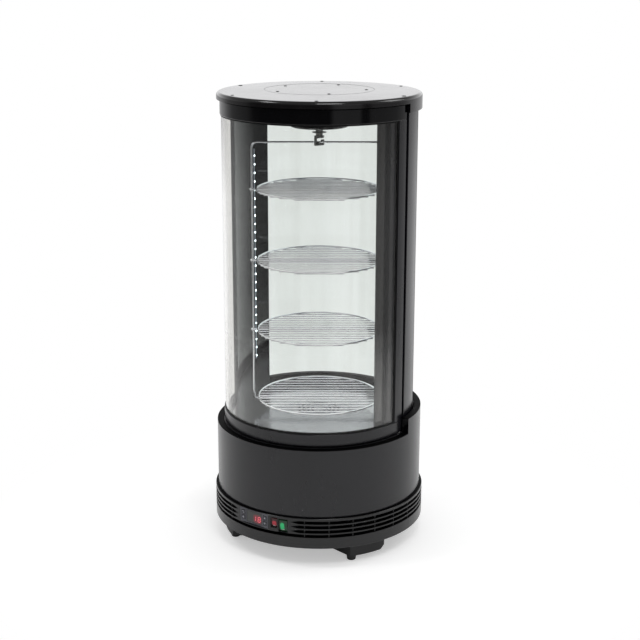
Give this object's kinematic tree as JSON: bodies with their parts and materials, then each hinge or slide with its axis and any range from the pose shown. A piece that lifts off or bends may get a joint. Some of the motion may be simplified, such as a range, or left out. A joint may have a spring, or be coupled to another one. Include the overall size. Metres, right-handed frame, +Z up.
{
  "type": "refrigerated display case",
  "caption": "Round countertop refrigerated display case with a curved glass door, a turning wire rack, lamps in two posts and a louvred base.",
  "frame": {"origin": "on the ground under the cabinet's vertical axis", "axes": "+Z up, the middle of the door and the controls face -Y, +X is the door's hinge side"},
  "size_m": [0.45, 0.45, 0.9548],
  "materials": {
    "black_paint": "satin black paint",
    "black_gloss_panel": "high-gloss black",
    "black_plastic": "fine matt black",
    "black_gloss_plastic": "gloss black",
    "dark_foam_plastic": "matt, skin over foam",
    "rubber_black": "matt rubber",
    "seal_rubber": "soft black rubber",
    "clear_glass": "clear float glass",
    "steel_plate": "brushed",
    "dark_steel": "dark zinc",
    "bright_steel": "turned",
    "chrome_wire": "bright chrome",
    "motor_zinc": "cast, plain",
    "fin_aluminium": "rolled fins",
    "black_iron": "gloss black on steel",
    "copper_pipe": "drawn copper",
    "white_nylon": "moulded nylon",
    "lamp_white": "white board with lamps",
    "display_panel": "dark red window",
    "red_switch": "gloss red",
    "green_switch": "gloss green, lit",
    "key_plastic": "gloss dark grey"
  },
  "bodies": {
    "cabinet": {"base_pan": "black_plastic", "rubber_feet": "rubber_black", "louvre_ring": "black_plastic", "drum_skin": "black_paint", "plinth": "dark_foam_plastic", "deck_plate": "steel_plate", "left_post": "black_paint", "right_post": "black_paint", "left_inner_panel": "black_gloss_panel", "right_inner_panel": "black_gloss_panel", "left_lamp_strip": "lamp_white", "right_lamp_strip": "lamp_white", "rear_glass": "clear_glass", "rear_glass_seal": "seal_rubber", "ceiling_panel": "dark_foam_plastic", "hub_cover": "black_gloss_panel", "gearmotor": "motor_zinc", "cap_base": "black_paint", "cap_shell": "black_paint", "cap_hatch": "black_paint", "cap_screws": "dark_steel", "hinge_pins": "bright_steel", "controller_case": "black_plastic", "controller_bezel": "black_gloss_plastic", "display_window": "display_panel", "small_switch_case": "black_gloss_plastic", "large_switch_case": "black_gloss_plastic", "mains_inlet": "black_plastic", "compressor": "black_iron", "compressor_mounts": "rubber_black", "condenser": "fin_aluminium", "condenser_fan_frame": "black_plastic", "evaporator": "fin_aluminium", "evaporator_fan_frame": "black_plastic", "drip_tray": "dark_foam_plastic", "lamp_supply": "motor_zinc", "refrigerant_pipes": "copper_pipe"},
    "door": {"door_header": "black_gloss_panel", "door_sill": "black_paint", "hinge_stile": "black_paint", "latch_stile": "black_paint", "door_glass": "clear_glass", "glazing_gasket": "seal_rubber", "door_seal": "seal_rubber", "hinge_bushes": "white_nylon"},
    "rack": {"spindle": "dark_steel", "rack_hook": "dark_steel", "rack_frame": "chrome_wire", "shelf_1": "chrome_wire", "shelf_2": "chrome_wire", "shelf_3": "chrome_wire", "shelf_4": "chrome_wire"},
    "condenser_rotor": {"condenser_fan": "black_plastic"},
    "evaporator_rotor": {"evaporator_fan": "black_plastic"},
    "small_switch": {"small_rocker": "red_switch"},
    "large_switch": {"large_rocker": "green_switch"},
    "set_button": {"set_key": "key_plastic"},
    "lamp_button": {"lamp_key": "key_plastic"},
    "up_button": {"up_key": "key_plastic"},
    "down_button": {"down_key": "key_plastic"}
  },
  "joints": [
    {"name": "door_hinge", "type": "hinge", "parent": "cabinet", "child": "door", "pos_m": [0.198, -0.007, 0.6], "axis": [0, 0, 1], "range_deg": [0, 95]},
    {"name": "rack_turn", "type": "hinge", "parent": "cabinet", "child": "rack", "pos_m": [0, 0, 0.89], "axis": [0, 0, 1], "continuous": true},
    {"name": "condenser_fan_spin", "type": "hinge", "parent": "cabinet", "child": "condenser_rotor", "pos_m": [0.1, 0, 0.106], "axis": [-1, 0, 0], "continuous": true},
    {"name": "evaporator_fan_spin", "type": "hinge", "parent": "cabinet", "child": "evaporator_rotor", "pos_m": [0, 0.06, 0.245], "axis": [0, 0, 1], "continuous": true},
    {"name": "small_switch_rock", "type": "hinge", "parent": "cabinet", "child": "small_switch", "pos_m": [0.02827, -0.21767, 0.093], "axis": [-0.9917, -0.1288, 0], "range_deg": [0, 16]},
    {"name": "large_switch_rock", "type": "hinge", "parent": "cabinet", "child": "large_switch", "pos_m": [0.04751, -0.2143, 0.08875], "axis": [-0.9763, -0.2164, 0], "range_deg": [0, 16]},
    {"name": "set_key_press", "type": "slide", "parent": "cabinet", "child": "set_button", "axis": [0.0993, 0.9951, 0], "range_m": [0, 0.0006], "stiffness_N_per_m": 800, "springref_m": -0.0005},
    {"name": "lamp_key_press", "type": "slide", "parent": "cabinet", "child": "lamp_button", "axis": [0.0993, 0.9951, 0], "range_m": [0, 0.0006], "stiffness_N_per_m": 800, "springref_m": -0.0005},
    {"name": "up_key_press", "type": "slide", "parent": "cabinet", "child": "up_button", "axis": [0.0993, 0.9951, 0], "range_m": [0, 0.0006], "stiffness_N_per_m": 800, "springref_m": -0.0005},
    {"name": "down_key_press", "type": "slide", "parent": "cabinet", "child": "down_button", "axis": [0.0993, 0.9951, 0], "range_m": [0, 0.0006], "stiffness_N_per_m": 800, "springref_m": -0.0005}
  ]
}
